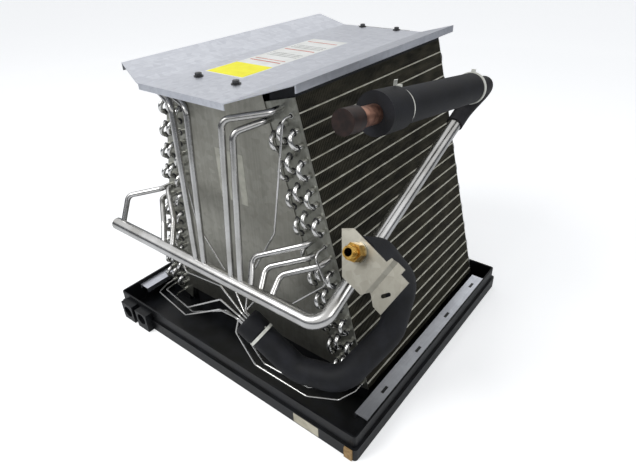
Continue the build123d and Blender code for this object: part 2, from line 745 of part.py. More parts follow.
def fitting_bracket():
    """Joggled plate that holds the liquid fitting, with a tab, a notch and a slot."""
    stepped_x = BRACKET_STEP_X + BRACKET_STEP
    section = make_face(
        Polyline(
            (BRACKET_LEFT, 0),
            (BRACKET_STEP_X, 0),
            (stepped_x, -BRACKET_STEP),
            (BRACKET_RIGHT, -BRACKET_STEP),
            (BRACKET_RIGHT, BRACKET_GAUGE - BRACKET_STEP),
            (stepped_x, BRACKET_GAUGE - BRACKET_STEP),
            (BRACKET_STEP_X, BRACKET_GAUGE),
            (BRACKET_LEFT, BRACKET_GAUGE),
            close=True,
        )
    )
    folded = extrude(Plane.XZ.offset(-BRACKET_HIGH) * section, amount=BRACKET_HIGH - BRACKET_LOW)
    outline = make_face(Polyline(*BRACKET_OUTLINE, close=True))
    outline -= Circle(LIQUID_DIAMETER / 2)
    outline -= Pos(*SLOT_PLACE) * SlotOverall(SLOT_LENGTH, SLOT_WIDTH, rotation=SLOT_TURN)
    plate = folded & extrude(Plane.XY.offset(-2 * BRACKET_STEP) * outline, amount=4 * BRACKET_STEP)
    return bracket_plane * plate


save("fitting_bracket", fitting_bracket())
ring_end = BRACKET_GAUGE + RING_THICKNESS
ring = rod(on_fitting(BRACKET_GAUGE), on_fitting(ring_end), RING_DIAMETER, LIQUID_DIAMETER)
save("fitting_ring", ring)
hex_section = RegularPolygon(HEX_ACROSS_FLATS / 2, 6, major_radius=False)
hex_plane = Plane(origin=on_fitting(ring_end), x_dir=(1, 0, 0), z_dir=fitting_axis)
brass = extrude(hex_plane * hex_section, amount=HEX_LENGTH)
spigot_end = ring_end + HEX_LENGTH + SPIGOT_LENGTH
brass += rod(on_fitting(ring_end), on_fitting(spigot_end), SPIGOT_DIAMETER)
brass -= rod(on_fitting(ring_end), on_fitting(HEX_LENGTH), LIQUID_DIAMETER)
brass -= rod(on_fitting(HEX_LENGTH), on_fitting(spigot_end + SPIGOT_LENGTH), LIQUID_BORE)
save("brass_fitting", brass)

ties = [
    tie(cuff_rear, sleeve_rear, TIE_INSET, SLEEVE_DIAMETER),
    tie(sleeve_rear, cuff_rear, TIE_INSET, SLEEVE_DIAMETER),
    tie(distributor_foot, first_bend, TIE_COLLAR_INSET, LAGGING_DIAMETER),
]
save("cable_ties", bundle(ties))

# ---------------------------------------------------------------- labels
yellow_y = fin_y + YELLOW_INSET + YELLOW_LENGTH / 2
white_y = yellow_y + (YELLOW_LENGTH + WHITE_LENGTH) / 2
yellow = (COVER_LABEL_WIDTH, YELLOW_LENGTH, LABEL_GAUGE)
white = (COVER_LABEL_WIDTH, WHITE_LENGTH, LABEL_GAUGE)
save("cover_label_yellow", block(*yellow, COVER_LABEL_X, yellow_y, COVER_TOP))
save("cover_label_white", block(*white, COVER_LABEL_X, white_y, COVER_TOP))
pan_label = (PAN_LABEL_WIDTH, LABEL_GAUGE, PAN_LABEL_HEIGHT)
save("pan_label", block(*pan_label, PAN_LABEL_X, front_y - LABEL_GAUGE / 2, PAN_LABEL_Z))
strip = (STRIP_WIDTH, LABEL_GAUGE, STRIP_HEIGHT)
strip_y = front_baffle_y - BAFFLE_GAUGE - LABEL_GAUGE / 2
save("baffle_strips", bundle([block(*strip, x, strip_y, STRIP_Z) for x in STRIP_PLACES]))
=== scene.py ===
# %% [markdown]
# # An A-coil evaporator, dressed over its CAD frame
# The object is the cold half of an air conditioner: two leaning slabs of finned tube that
# stand in a drain pan, closed by sheet-metal ends and a folded lid, with the pipework in
# front. The CAD model already has every solid in place, in metres. This lesson adds what
# CAD leaves out: the fins, the braze marks, the threads and the look of each material.

# %% Load the CAD frame
import json
import math
import random

import bmesh
import bpy
from mathutils import Matrix, Vector


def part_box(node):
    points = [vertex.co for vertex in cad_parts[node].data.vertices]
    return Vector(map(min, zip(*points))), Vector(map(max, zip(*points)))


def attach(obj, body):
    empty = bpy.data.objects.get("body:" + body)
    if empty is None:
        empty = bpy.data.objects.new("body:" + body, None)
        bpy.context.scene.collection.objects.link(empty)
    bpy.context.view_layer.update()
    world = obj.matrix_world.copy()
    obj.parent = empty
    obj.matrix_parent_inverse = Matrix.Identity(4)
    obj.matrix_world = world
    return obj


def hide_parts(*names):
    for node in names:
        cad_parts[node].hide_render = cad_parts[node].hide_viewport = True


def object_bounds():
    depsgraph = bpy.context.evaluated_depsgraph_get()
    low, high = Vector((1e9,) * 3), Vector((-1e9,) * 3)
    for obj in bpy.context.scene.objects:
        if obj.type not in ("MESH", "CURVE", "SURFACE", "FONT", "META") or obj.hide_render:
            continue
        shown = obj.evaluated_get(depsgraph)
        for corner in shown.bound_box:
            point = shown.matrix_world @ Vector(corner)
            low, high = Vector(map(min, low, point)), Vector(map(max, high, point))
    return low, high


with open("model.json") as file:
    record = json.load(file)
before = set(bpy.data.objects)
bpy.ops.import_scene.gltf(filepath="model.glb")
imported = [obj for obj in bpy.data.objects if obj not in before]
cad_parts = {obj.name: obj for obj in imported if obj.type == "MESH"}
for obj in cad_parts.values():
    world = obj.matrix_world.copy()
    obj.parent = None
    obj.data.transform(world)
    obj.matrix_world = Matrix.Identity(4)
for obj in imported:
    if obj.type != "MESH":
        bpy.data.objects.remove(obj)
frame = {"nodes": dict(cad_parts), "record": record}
cad_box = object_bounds()
MM = 0.001
random.seed(7)
nodes = frame["nodes"]
print("CAD nodes:", len(nodes))

# %% [markdown]
# ## Tools for materials
# Colours are easier to compare as the hex values of a colour picker, but Blender's shaders
# add light in linear numbers, so one function turns the first into the second. A second
# function adds any shader node with its settings and links, so a material reads as a list.

# %% Helpers for colours and shader nodes
def srgb(code):
    """A hex colour as the four linear numbers that a shader socket takes."""
    parts = [int(code[i : i + 2], 16) / 255 for i in (1, 3, 5)]
    linear = [c / 12.92 if c <= 0.04045 else ((c + 0.055) / 1.055) ** 2.4 for c in parts]
    return (*linear, 1.0)


def add(tree, kind, settings=None, **sockets):
    """Adds one node. A socket, by name or as _number, takes a value or another's output."""
    node = tree.nodes.new(kind)
    for name, value in (settings or {}).items():
        setattr(node, name, value)
    for name, value in sockets.items():
        key = int(name[1:]) if name[0] == "_" else name.replace("_", " ")
        if isinstance(value, bpy.types.NodeSocket):
            tree.links.new(value, node.inputs[key])
        else:
            node.inputs[key].default_value = value
    return node


def start_material(name, code, metallic, roughness, **sockets):
    """A new material and its main shader, set to one finish to start from."""
    made = bpy.data.materials.new(name)
    made.use_nodes = True
    tree = made.node_tree
    shader = tree.nodes["Principled BSDF"]
    shader.inputs["Base Color"].default_value = srgb(code)
    shader.inputs["Metallic"].default_value = metallic
    shader.inputs["Roughness"].default_value = roughness
    for key, value in sockets.items():
        shader.inputs[key.replace("_", " ")].default_value = value
    made.diffuse_color = srgb(code)
    return made, tree, shader


print("white in linear light:", srgb("#ffffff"))

# %% [markdown]
# ## One recipe for uneven surfaces
# Hardly any real surface has one colour: handling, dust and the way it was made leave clouds
# a few millimetres wide. Most finishes here are that idea with other numbers. A pattern is
# drawn in the object's own metres, its scale worked out from the width of its clouds, and
# it mixes two colours, shifts the roughness and, as finer relief, tilts the surface.

# %% The recipe
NOISE, CELLS = "ShaderNodeTexNoise", "ShaderNodeTexVoronoi"
EVEN = (1, 1, 1)


def pattern(tree, size_mm, stretch=EVEN, detail=4.0, kind=NOISE):
    """A pattern with features that many mm wide, squeezed along the axes to draw it out."""
    coords = add(tree, "ShaderNodeTexCoord").outputs["Object"]
    placed = add(tree, "ShaderNodeMapping", _0=coords, Scale=stretch).outputs[0]
    return add(tree, kind, _0=placed, Scale=1 / (size_mm * MM), Detail=detail)


def weather(tree, shader, amount, shades, levels, rough=None, wear=None, relief=None):
    """Spreads a pattern over two colours between two of its levels.

    It is spread over a range of roughness too, unless wear is another pattern for that.
    Relief is a pattern, its depth in mm and its strength.
    """
    ramp = add(tree, "ShaderNodeValToRGB", _0=amount)
    for stop, level, code in zip(ramp.color_ramp.elements, levels, shades):
        stop.position = level
        stop.color = srgb(code)
    tree.links.new(ramp.outputs["Color"], shader.inputs["Base Color"])
    if rough:
        spread = add(tree, "ShaderNodeMapRange", _0=wear or amount, _3=rough[0], _4=rough[1])
        tree.links.new(spread.outputs[0], shader.inputs["Roughness"])
    if relief:
        height, depth_mm, strength = relief
        settings = {"Strength": strength, "Distance": depth_mm * MM, "Height": height}
        tilt = add(tree, "ShaderNodeBump", **settings)
        tree.links.new(tilt.outputs[0], shader.inputs["Normal"])


print("recipe: a pattern for colour, one for roughness, one for relief")

# %% [markdown]
# ## Galvanised steel
# Sheet steel dipped in zinc: the zinc freezes in crystals, the spangle, which turn the light
# a little differently each, over a soft rolled grain. It could be one grey metal, but then a
# lid this large reads as plastic. Cells give the crystals and drawn-out noise the grain.
# The lid is bright stock; the end sheets are the same metal, duller and streaked downwards.

# %% Galvanised sheet, bright and dull
SPANGLE_MM, GRAIN_MM, CLOUD_MM = 9, 14, 70
SPANGLE_SHARE, GRAIN_SHARE, CLOUD_SHARE = 0.2, 0.45, 0.25
GRAIN_DEPTH_MM = 0.05


def galvanised_steel(name, dark, light, grain_stretch, low, high):
    made, tree, shader = start_material(name, light, 1.0, low)
    cells = pattern(tree, SPANGLE_MM, detail=0.0, kind=CELLS)
    crystal = add(tree, "ShaderNodeSeparateColor", _0=cells.outputs["Color"]).outputs[0]
    grain = pattern(tree, GRAIN_MM, grain_stretch, 6).outputs["Fac"]
    clouds = pattern(tree, CLOUD_MM, detail=3).outputs["Fac"]
    total = 0.0
    shares = ((crystal, SPANGLE_SHARE), (grain, GRAIN_SHARE), (clouds, CLOUD_SHARE))
    for layer, share in shares:
        settings = {"operation": "MULTIPLY_ADD"}
        total = add(tree, "ShaderNodeMath", settings, _0=layer, _1=share, _2=total).outputs[0]
    relief = (grain, GRAIN_DEPTH_MM, 0.5)
    weather(tree, shader, total, (dark, light), (0.3, 0.8), (high, low), relief=relief)
    return made


# The lid's rolling grain runs front to back, and the end sheets' streaks run down.
lid_steel = galvanised_steel("galvanised_lid", "#c3c6ce", "#dde0e7", (6, 0.3, 6), 0.32, 0.46)
end_steel = galvanised_steel("galvanised_end", "#8b8a82", "#a3a29a", (4, 4, 0.12), 0.3, 0.46)
plate_steel = galvanised_steel("galvanised_plate", "#8a8a82", "#a9aaa2", (3, 3, 0.5), 0.36, 0.5)
bracket_steel = galvanised_steel("galvanised_bracket", "#9b988d", "#b9b6ab", EVEN, 0.36, 0.5)
print("galvanised finishes: 4")

# %% [markdown]
# ## Aluminium: drawn tube and rolled fin stock
# The tube is drawn through a die, so it is satin, with duller patches where it was handled
# and fine scuffs. The fins are rolled foil on edge, dull enough to count as half metal. Their
# faces are painted dark brown as the shade between them, and their collar ridges pale as a
# painted highlight.

# %% Drawn tube
def drawn_aluminium(name, dark, light, low, high):
    made, tree, shader = start_material(name, light, 1.0, low)
    handled = pattern(tree, 45, detail=3).outputs["Fac"]
    scuffs = pattern(tree, 5, detail=3).outputs["Fac"]
    relief = (scuffs, 0.05, 0.35)
    weather(tree, shader, handled, (dark, light), (0.3, 0.7), (low, high), scuffs, relief)
    return made


# The bends are brighter than the header, because forming polished them.
tube_aluminium = drawn_aluminium("drawn_aluminium", "#abaaa7", "#cfcfcf", 0.18, 0.3)
bend_aluminium = drawn_aluminium("drawn_aluminium_bends", "#c3c3c0", "#e6e6e5", 0.14, 0.28)
print("drawn aluminium finishes: 2")

# %% [markdown]
# ## Finishes that only vary in colour
# For the fins' three surfaces, the brass and the zinc plate a mottled colour is enough: they
# are thin or small. Fin stock is drawn out front to back, since each edge is rolled. Turned
# brass also gets its fine tool marks as relief.

# %% Fin stock, brass and zinc plate
MIDDLE = (0.35, 0.65)


def mottled(name, code, shades, metallic, roughness, size_mm, stretch=EVEN):
    made, tree, shader = start_material(name, code, metallic, roughness)
    patches = pattern(tree, size_mm, stretch).outputs["Fac"]
    weather(tree, shader, patches, shades, MIDDLE)
    return made


# The fin stock is one foil in painted light: its collar ridges pale as a painted highlight, its
# faces dark brown as painted shade, and the core near black as the shade deep in the pack.
RIDGE_HIGHLIGHT_TONES, FACE_SHADE_TONES = ("#bdbaa9", "#dedccf"), ("#34322a", "#524f42")
fin_ridge_highlight = mottled("fin_stock_painted_highlight", "#cfcdbf", RIDGE_HIGHLIGHT_TONES, 0.35, 0.5, 6, (1, 0.4, 1))
fin_face_shade = mottled("fin_face_painted_shade", "#3f3c30", FACE_SHADE_TONES, 0.2, 0.6, 12, (1, 0.3, 1))
fin_core = mottled("fin_stock_shade", "#1b1a16", ("#14130f", "#24221c"), 0.0, 0.8, 8)
zinc = mottled("zinc_plate", "#a9a99f", ("#8f9088", "#bcbcb2"), 1.0, 0.34, 4)

brass, tree, shader = start_material("turned_brass", "#c39a4c", 1.0, 0.26)
patches = pattern(tree, 5, detail=5).outputs["Fac"]
tool_marks = pattern(tree, 1.2).outputs["Fac"]
relief = (tool_marks, 0.03, 0.4)
weather(tree, shader, patches, ("#a47b34", "#d6b062"), MIDDLE, relief=relief)
print("fin stock: 3, brass, zinc")

# %% [markdown]
# ## Tarnished copper
# The suction stub and the liquid tube are copper that heat has turned red-brown, with paler
# rubbed patches. Where it is tarnished it is also rougher, so one pattern drives both.

# %% Copper
copper, tree, shader = start_material("tarnished_copper", "#8f6656", 1.0, 0.4)
tarnish = pattern(tree, 12, detail=6).outputs["Fac"]
weather(tree, shader, tarnish, ("#5a4038", "#b08674"), (0.36, 0.62), (0.55, 0.32))
print("copper")

# %% [markdown]
# ## Elastomer foam and plastics
# The sleeves are closed-cell rubber foam with a thin skin: near black, slightly blue, matt
# with a soft sheen, pitted by its cells. The pan is moulded ABS, black and satin with a fine
# spark-eroded grain and dust in it. The cap is soft vinyl and the ties are natural nylon.

# %% Foam
def elastomer_foam(name, dark, light):
    made, tree, shader = start_material(name, dark, 0.0, 0.62, IOR=1.45, Specular_IOR_Level=0.28)
    cells = pattern(tree, 1.6, detail=0.0, kind=CELLS).outputs["Distance"]
    dust = pattern(tree, 26, detail=5).outputs["Fac"]
    pits = (cells, 0.25, 0.6)
    weather(tree, shader, dust, (dark, light), (0.4, 0.75), (0.52, 0.75), relief=pits)
    return made


foam = elastomer_foam("elastomer_foam", "#131417", "#212227")
wrap_foam = elastomer_foam("elastomer_tape", "#181719", "#29292c")
print("foams: 2")

# %% Moulded plastics and other grained finishes
def moulded(name, dark, light, low, high, grain_mm=0.9, dust_mm=30, shine=0.5):
    made, tree, shader = start_material(name, dark, 0.0, low, IOR=1.52, Specular_IOR_Level=shine)
    dust = pattern(tree, dust_mm, detail=6).outputs["Fac"]
    grain = pattern(tree, grain_mm, detail=2).outputs["Fac"]
    relief = (grain, 0.08, 0.4)
    weather(tree, shader, dust, (dark, light), (0.42, 0.78), (low, high), relief=relief)
    return made


pan_plastic = moulded("moulded_abs", "#08090b", "#1a1c20", 0.3, 0.52, shine=0.26)
cap_vinyl = moulded("soft_vinyl_cap", "#1d1514", "#35241f", 0.4, 0.6, 1.5, 9, 0.25)
tie_nylon = moulded("natural_nylon", "#cfcfc6", "#e6e6de", 0.35, 0.5, 1.5, 8)
pad_fibre = moulded("fibre_pad", "#8f7147", "#b39468", 0.7, 0.9, 1.0, 5)
black_oxide = moulded("black_oxide_steel", "#0d0d0e", "#232427", 0.28, 0.45, 1.0, 4)
print("grained finishes: 5")

# %% [markdown]
# ## Labels
# Coated paper: flat colour with a faint print unevenness and a soft gloss. The labels carry
# plain fields of colour only.

# %% Label papers
DULLED = 0.1


def label_paper(name, code, shade, rough=0.45):
    made, tree, shader = start_material(name, code, 0.0, rough, IOR=1.5)
    mottle = pattern(tree, 18).outputs["Fac"]
    weather(tree, shader, mottle, (shade, code), (0.3, 0.6), (rough + DULLED, rough))
    return made


yellow_paper = label_paper("label_yellow_paper", "#fff81e", "#f8ee14")
white_paper = label_paper("label_white_paper", "#efefec", "#e3e3de")
worn_paper = label_paper("label_worn_paper", "#b5b4a8", "#98978c", 0.6)
cream_paper = label_paper("label_cream_paper", "#c9c3b0", "#aba592", 0.6)
red_print = label_paper("label_red_print", "#c8553f", "#b54a37")
grey_print = label_paper("label_grey_print", "#8f918f", "#7f817f")
print("label papers: 6")

# %% [markdown]
# ## Dressing the CAD nodes
# A CAD node whose shape is right keeps its mesh and only gets a finish in its slots.

# %% Give each CAD node its finish
FINISHES = {
    "top_cover": lid_steel,
    "cover_tab": plate_steel,
    "front_baffle": end_steel,
    "rear_baffle": end_steel,
    "tube_sheet": plate_steel,
    "side_rail": lid_steel,
    "fitting_bracket": bracket_steel,
    "hairpins": bend_aluminium,
    "return_bends": bend_aluminium,
    "suction_header": tube_aluminium,
    "capillaries": tube_aluminium,
    "feeder": tube_aluminium,
    "suction_stub": copper,
    "liquid_tube": copper,
    "stub_cap": cap_vinyl,
    "turn_wrap": wrap_foam,
    "stub_sleeve": foam,
    "sleeve_cuff": foam,
    "liquid_lagging": foam,
    "cover_foam": foam,
    "distributor": brass,
    "brass_fitting": brass,
    "fitting_ring": zinc,
    "cable_ties": tie_nylon,
    "cover_screws": black_oxide,
    "cover_label_yellow": yellow_paper,
    "cover_label_white": white_paper,
    "pan_label": cream_paper,
    "baffle_strips": worn_paper,
    "drain_pan": pan_plastic,
    "corner_seal_pad": pad_fibre,
    "fin_pack": fin_core,
}
for name, part in nodes.items():
    finish = next(value for key, value in FINISHES.items() if name.startswith(key))
    part.data.materials.clear()
    part.data.materials.append(finish)
print("dressed", len(nodes), "nodes")

# %% [markdown]
# ## Tools for new pieces
# New pieces are built in mesh code: each helper appends to a list of corners and faces, and
# one function turns the lists into an object that rides on the CAD body.

# %% Gather corners and faces
class Stock:
    """Corners, faces and the finish of each face, gathered for one piece."""

    def __init__(self):
        self.corners = []
        self.faces = []
        self.finish = []

    def face_loop(self, rings, finish=0, capped=True):
        """Skins closed rings of points in turn, with a flat cap at each end if capped."""
        base, count = len(self.corners), len(rings[0])
        for ring in rings:
            self.corners.extend(ring)
        for step in range(len(rings) - 1):
            for i in range(count):
                j = (i + 1) % count
                low, high = base + step * count, base + (step + 1) * count
                self.faces.append((low + i, low + j, high + j, high + i))
                self.finish.append(finish)
        if capped:
            last = base + (len(rings) - 1) * count
            self.faces.append(tuple(range(base + count - 1, base - 1, -1)))
            self.faces.append(tuple(range(last, last + count)))
            self.finish.extend((finish, finish))

    def mesh(self, name):
        """The gathered corners and faces as a Blender mesh."""
        made = bpy.data.meshes.new(name)
        made.from_pydata([tuple(c) for c in self.corners], [], self.faces)
        return made


print("a stock gathers one piece")


# %% Turn a stock into a piece
def link_new(name, data):
    """A new object in the scene, for a mesh, a lamp or a camera."""
    made = bpy.data.objects.new(name, data)
    bpy.context.scene.collection.objects.link(made)
    return made


def build(name, stock, materials, smooth=True):
    """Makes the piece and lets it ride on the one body."""
    mesh = stock.mesh(name)
    for material in materials:
        mesh.materials.append(material)
    for polygon, finish in zip(mesh.polygons, stock.finish):
        polygon.material_index = finish
        polygon.use_smooth = smooth
    sheet = bmesh.new()
    sheet.from_mesh(mesh)
    bmesh.ops.recalc_face_normals(sheet, faces=sheet.faces)
    sheet.to_mesh(mesh)
    sheet.free()
    piece = link_new(name, mesh)
    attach(piece, "root")
    print(name, len(mesh.polygons), "faces")
    return piece


# %% [markdown]
# ## The fins
# Some two hundred sheets of foil are threaded over the tubes. From outside one sees their
# edges: each is pressed in shallow waves, and at each tube row the collars push out a
# ridge, coloured pale as a painted highlight. The CAD block only has the ridges. Real fin
# spacing is about 1.8 mm, which is too fine to show in the render, so the fins here stand
# 3.4 mm apart. Each is a wavy strip with real thickness, coloured dark brown as painted
# shade, in front of a core painted near black as the shade deep in the pack, and the ridges
# are rows of small flats.

# %% Measure the slabs
# In mm: tubes stand TUBE_PITCH apart up the slab, and its rows ROW_PITCH apart inwards.
LEAN = math.radians(14.7)
TUBE_PITCH = 21.0
ROW_PITCH = 17.6
TUBE_ROWS = 22
ROWS_DEEP = 3
FOOT = (248.0, 44.0)
SLAB_DEEP = ROWS_DEEP * ROW_PITCH
SIDES = ((1, "right"), (-1, "left"))
low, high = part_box("fin_pack_right")
fin_front, fin_rear = low.y / MM, high.y / MM
SLAB_LOW = -TUBE_PITCH / 2
SLAB_HIGH = SLAB_LOW + (TUBE_ROWS + 0.5) * TUBE_PITCH
print("fins from", round(fin_front, 1), "to", round(fin_rear, 1), "mm")


def on_slab(side, u, v, y):
    """A point of a slab, u inwards from its outer face, v up the slab, in metres."""
    x = FOOT[0] - u * math.cos(LEAN) - v * math.sin(LEAN)
    z = FOOT[1] - u * math.sin(LEAN) + v * math.cos(LEAN)
    return Vector((side * x, y, z)) * MM


# %% Shape the fins
# In mm.
FIN_SPACING = 3.4
FIN_THICK = 0.7
FIN_DEEP = 5.0
FIN_INSET = 0.1
FIN_END_GAP = 0.2
UNEVEN = 0.25
CORE_OVERLAP = 1.0
WAVES_PER_PITCH = 4
WAVE_U = 0.5
INNER_FACE_STEP = 8


def fin_profile():
    """Heights up the slab and how far each stands out, in shallow waves."""
    steps = TUBE_ROWS * WAVES_PER_PITCH * 2
    pitch = (SLAB_HIGH - SLAB_LOW) / steps
    return [(SLAB_LOW + i * pitch, WAVE_U * (i % 2)) for i in range(steps + 1)]


def slab_fins(side):
    stock = Stock()
    profile = fin_profile()
    count = int((fin_rear - fin_front) / FIN_SPACING)
    for number in range(count + 1):
        run = fin_rear - fin_front - 2 * FIN_END_GAP - FIN_THICK
        y = fin_front + FIN_END_GAP + number * run / count
        lean_out = random.uniform(0, UNEVEN)
        for outside in (True, False):
            rings = []
            for v, wave in profile:
                edge = wave + lean_out + FIN_INSET
                inner = edge + FIN_DEEP
                if not outside:
                    edge, inner = SLAB_DEEP - edge, SLAB_DEEP - inner
                spots = ((edge, y), (edge, y + FIN_THICK), (inner, y + FIN_THICK), (inner, y))
                rings.append([on_slab(side, u, v, along) for u, along in spots])
            stock.face_loop(rings if outside else rings[::INNER_FACE_STEP])
    outer_u = FIN_DEEP - CORE_OVERLAP
    inner_u = SLAB_DEEP - outer_u
    core = [(outer_u, SLAB_LOW), (inner_u, SLAB_LOW), (inner_u, SLAB_HIGH), (outer_u, SLAB_HIGH)]
    ends = [[on_slab(side, u, v, y) for u, v in core] for y in (fin_front, fin_rear)]
    stock.face_loop(ends, 1)
    return stock


print("fins to a slab:", int((fin_rear - fin_front) / FIN_SPACING) + 1)

# %% Shape the collar flats
# In mm.
RIDGE_TALL = 2.6
RIDGE_PROUD = 0.8
RIDGE_ROOT = 1.2
RIDGE_GAP = 0.35


def slab_ridges(side):
    """The row of collar flats at each tube row, broken where fin meets fin."""
    stock = Stock()
    span = fin_rear - fin_front
    length = FIN_SPACING * 2
    count = int(span / length)
    for row in range(TUBE_ROWS):
        v = row * TUBE_PITCH
        for number in range(count):
            y = fin_front + number * span / count
            end = y + span / count - RIDGE_GAP
            out = -RIDGE_PROUD + random.uniform(0, UNEVEN)
            half = RIDGE_TALL / 2 * random.uniform(0.85, 1.0)
            shape = ((RIDGE_ROOT, -half), (out, -half / 2), (out, half / 2), (RIDGE_ROOT, half))
            rings = [[on_slab(side, u, v + h, along) for u, h in shape] for along in (y, end)]
            stock.face_loop(rings)
    return stock


print("rows of collar flats to a slab:", TUBE_ROWS)

# %% Build the fins of both slabs
# The fin strips and core take the painted shade, and the collar flats the painted highlight.
for side, name in SIDES:
    fins = build(f"fins_{name}", slab_fins(side), [fin_face_shade, fin_core], False)
    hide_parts(f"fin_pack_{name}")
    build(f"fin_ridges_{name}", slab_ridges(side), [fin_ridge_highlight], False)

# %% [markdown]
# ## Marks of the brazing
# Each return bend's cup slips over the end of its leg and is brazed there. A black ring of
# burnt flux is left round each cup. A torus per cup does it; a painted band would need the
# bend's own coordinates, and the ring also gives the joint its small step.

# %% A ring of wire
def ring_of(centre, axis, radius, wire, turns=16, sides=6):
    """Rings of points of a torus round an axis, for a braze ring or a thread."""
    axis = axis.normalized()
    first = axis.orthogonal().normalized()
    second = axis.cross(first)
    rings = []
    for i in range(turns + 1):
        a = math.tau * i / turns
        out = first * math.cos(a) + second * math.sin(a)
        loop = []
        for k in range(sides):
            b = math.tau * k / sides
            loop.append(centre + out * (radius + wire * math.cos(b)) + axis * wire * math.sin(b))
        rings.append(loop)
    return rings


print("points in one ring:", sum(len(loop) for loop in ring_of(Vector(), Vector((0, 1, 0)), 1, 0.1)))

# %% Braze rings round the cups
# In mm: how far legs stand out of the tube sheet, and how far in the cup's lip sits.
CUP_RADIUS = 4.5
LEG_PROUD = 5.5
CUP_LIP = 3.4
RING_WIRE = (0.8, 1.1)
leg_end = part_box("tube_sheet_front_right")[0].y / MM - LEG_PROUD
# The two pairs of tubes, by row and place, whose ends stay open for feeders.
OPEN_PAIRS = ((0, 11), (1, 11))


def cup_centres(side):
    """Where each cup's ring sits on one slab."""
    for row in range(ROWS_DEEP):
        for index in range(1, TUBE_ROWS - 1, 2):
            if (row, index) in OPEN_PAIRS:
                continue
            for tube in (index, index + 1):
                u = (row + 0.5) * ROW_PITCH
                v = (tube + 0.5 * (row % 2)) * TUBE_PITCH
                yield on_slab(side, u, v, leg_end - CUP_LIP)


for side, name in SIDES:
    rings = Stock()
    for centre in cup_centres(side):
        wire = random.uniform(*RING_WIRE) * MM
        torus = ring_of(centre, Vector((0, 1, 0)), CUP_RADIUS * MM, wire)
        rings.face_loop(torus, capped=False)
    build(f"braze_rings_{name}", rings, [black_oxide])

# %% [markdown]
# ## The liquid fitting's thread
# The spigot is a male thread for the liquid line. Turned grooves are modelled as close rings
# round it, since their slope is too fine to see.

# %% Thread rings on the spigot
spigot = next(m for m in frame["record"]["mounts"] if m["name"] == "liquid_spigot")
spigot_axis = Vector(spigot["axis"]).normalized()
spigot_middle = Vector(spigot["pos_m"])
THREAD_RINGS = 6
THREAD_PITCH = 1.5 * MM
THREAD_RADIUS = 7.9 * MM
THREAD_WIRE = 0.55 * MM
thread = Stock()
for number in range(THREAD_RINGS):
    centre = spigot_middle + spigot_axis * (number - (THREAD_RINGS - 1) / 2) * THREAD_PITCH
    ring = ring_of(centre, spigot_axis, THREAD_RADIUS, THREAD_WIRE, 32, 6)
    thread.face_loop(ring, capped=False)
build("spigot_thread", thread, [brass])

# %% [markdown]
# ## The collar over the distributor
# Where the thin tubes fan out, the foam is wound once more round the brass distributor, so
# that no cold metal sweats. It is a short thick sleeve with a soft rounded rim, lathed from
# a profile, because the CAD only has the brass body under it.

# %% Foam collar
DISTRIBUTOR_FOOT = Vector((98.0, -235.0, 137.0)) * MM
FIRST_BEND = Vector((165.0, -225.0, 88.0)) * MM
collar_axis = (DISTRIBUTOR_FOOT - FIRST_BEND).normalized()
# The collar's profile: distance along the axis and radius, in mm.
COLLAR = ((-1.0, 20.6), (-1.0, 22.4), (0.5, 23.2), (24.0, 22.6), (27.0, 21.6), (28.0, 20.0))
COLLAR += ((28.2, 18.0), (26.0, 13.4), (0.0, 13.3))


def lathe(stock, origin, axis, profile, turns=40):
    """Turns a profile of (distance along, radius), in mm, round an axis."""
    first = axis.orthogonal().normalized()
    second = axis.cross(first)
    rings = []
    for i in range(turns + 1):
        a = math.tau * i / turns
        out = first * math.cos(a) + second * math.sin(a)
        rings.append([origin + axis * x * MM + out * r * MM for x, r in profile])
    stock.face_loop(rings, capped=False)


collar = Stock()
lathe(collar, DISTRIBUTOR_FOOT, collar_axis, COLLAR)
build("distributor_collar", collar, [foam])

# %% [markdown]
# ## Print on the labels
# The labels keep only plain fields of colour: a pale border round the yellow one, and a few
# thin red and grey rules on the white one. Each is a film a tenth of a millimetre thick.

# %% Label fields
FILM = 0.15


def film(stock, low, high, finish=0):
    """A thin rectangle between two corners, in mm."""
    (x0, y0, z0), (x1, y1, z1) = low, high
    base = [(x0, y0), (x1, y0), (x1, y1), (x0, y1)]
    rings = [[Vector((x, y, z)) * MM for x, y in base] for z in (z0, z1)]
    stock.face_loop(rings, finish)


yellow_low, yellow_high = [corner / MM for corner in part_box("cover_label_yellow")]
border = Stock()
BORDER = 2.0
film(
    border,
    (yellow_low.x - BORDER, yellow_low.y - BORDER, yellow_low.z),
    (yellow_high.x + BORDER, yellow_low.y, yellow_low.z + FILM),
)
for x0, x1 in ((yellow_low.x - BORDER, yellow_low.x), (yellow_high.x, yellow_high.x + BORDER)):
    film(border, (x0, yellow_low.y, yellow_low.z), (x1, yellow_high.y, yellow_low.z + FILM))
build("label_border", border, [white_paper], False)

white_low, white_high = [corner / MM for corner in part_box("cover_label_white")]
rules = Stock()
RULE_INSET = 6
# Each rule: how far up the label it starts, how tall it is, and red (0) or grey (1).
RULES = ((22, 3.0, 0), (34, 2.0, 0), (60, 1.6, 1), (68, 1.6, 1), (76, 1.6, 1), (104, 3.0, 0))
RULES += ((120, 1.6, 1), (128, 1.6, 1), (136, 1.6, 1), (166, 2.4, 0))
for start, tall, finish in RULES:
    y = white_low.y + start
    top = white_high.z
    left, right = white_low.x + RULE_INSET, white_high.x - RULE_INSET
    film(rules, (left, y, top), (right, y + tall, top + FILM), finish)
build("label_rules", rules, [red_print, grey_print], False)

# %% [markdown]
# ## Small trim
# Cable ties leave a cut tail beside their head, and the side rails carry stamped slots,
# drawn as thin black films: painted shade for the dark inside of each slot. They are small,
# but without them the metal looks unused.

# %% Tie tails
trim = Stock()
TAIL_LONG, TAIL_WIDE, TAIL_GAUGE = 16.0, 4.0, 1.0
TAIL_STEPS = 4
TAIL_DROOP = 0.4
TAIL_SECTION = ((1, 1), (-1, 1), (-1, -1), (1, -1))
